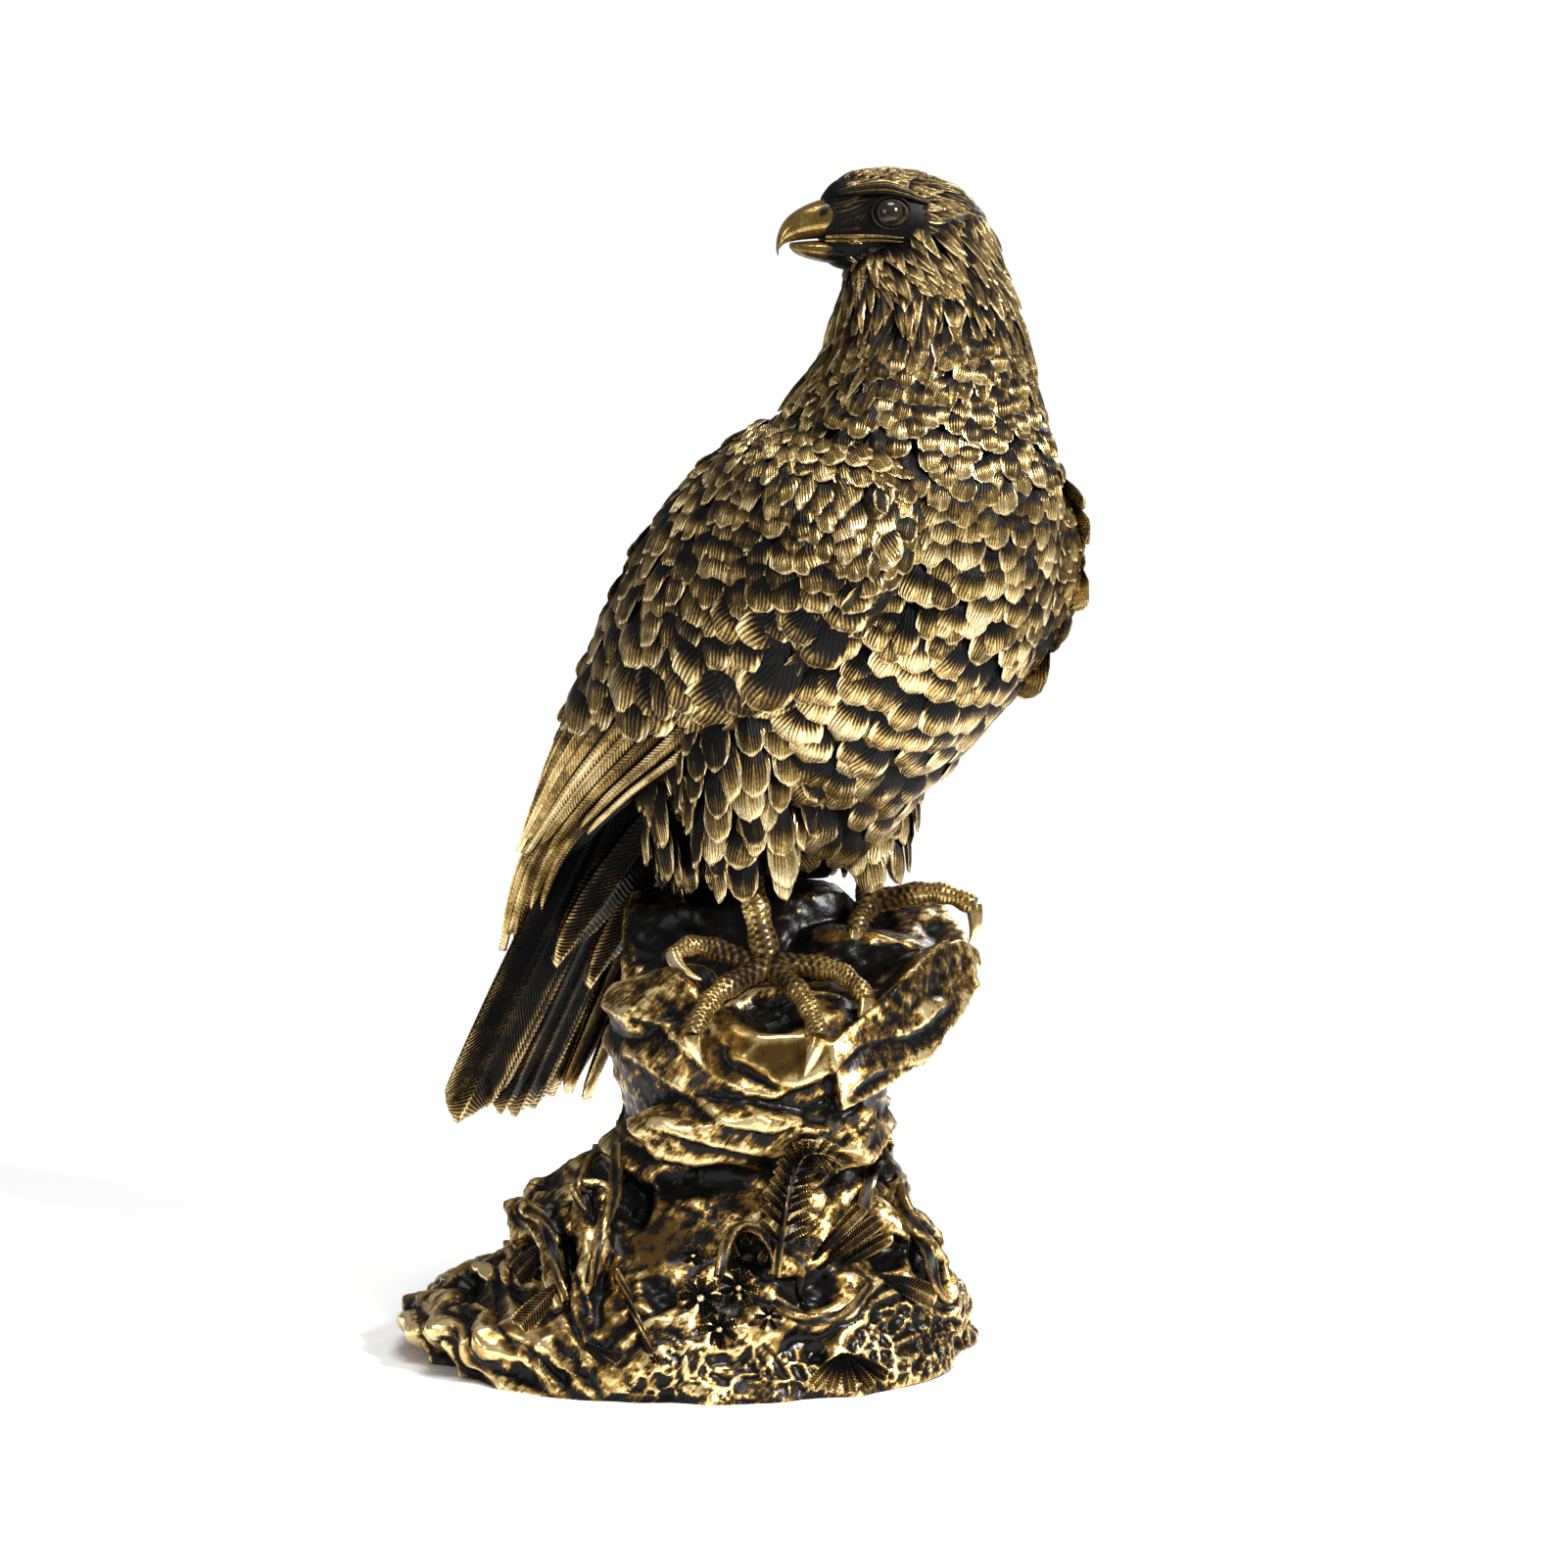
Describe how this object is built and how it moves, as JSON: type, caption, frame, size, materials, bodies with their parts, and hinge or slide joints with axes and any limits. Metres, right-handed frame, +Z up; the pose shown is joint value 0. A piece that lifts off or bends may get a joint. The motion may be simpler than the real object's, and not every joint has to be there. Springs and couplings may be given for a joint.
{
  "type": "eagle figurine",
  "caption": "Tabletop resin eagle in antique gold over black, standing on a rugged rock plinth with wings folded and head turned back over one shoulder",
  "frame": {"origin": "middle of the rock plinth's flat underside, on the surface that the statue stands on", "axes": "+Z up along the statue's height, -Y towards the front, +X to the right as seen from the front"},
  "size_m": [0.2139, 0.2113, 0.3619],
  "materials": {
    "antique_gold_resin": "cast resin painted black, with antique gold rubbed over the raised carving and a satin to semi-gloss lacquer"
  },
  "bodies": {
    "root": {"eagle_statue": "antique_gold_resin"}
  },
  "joints": []
}
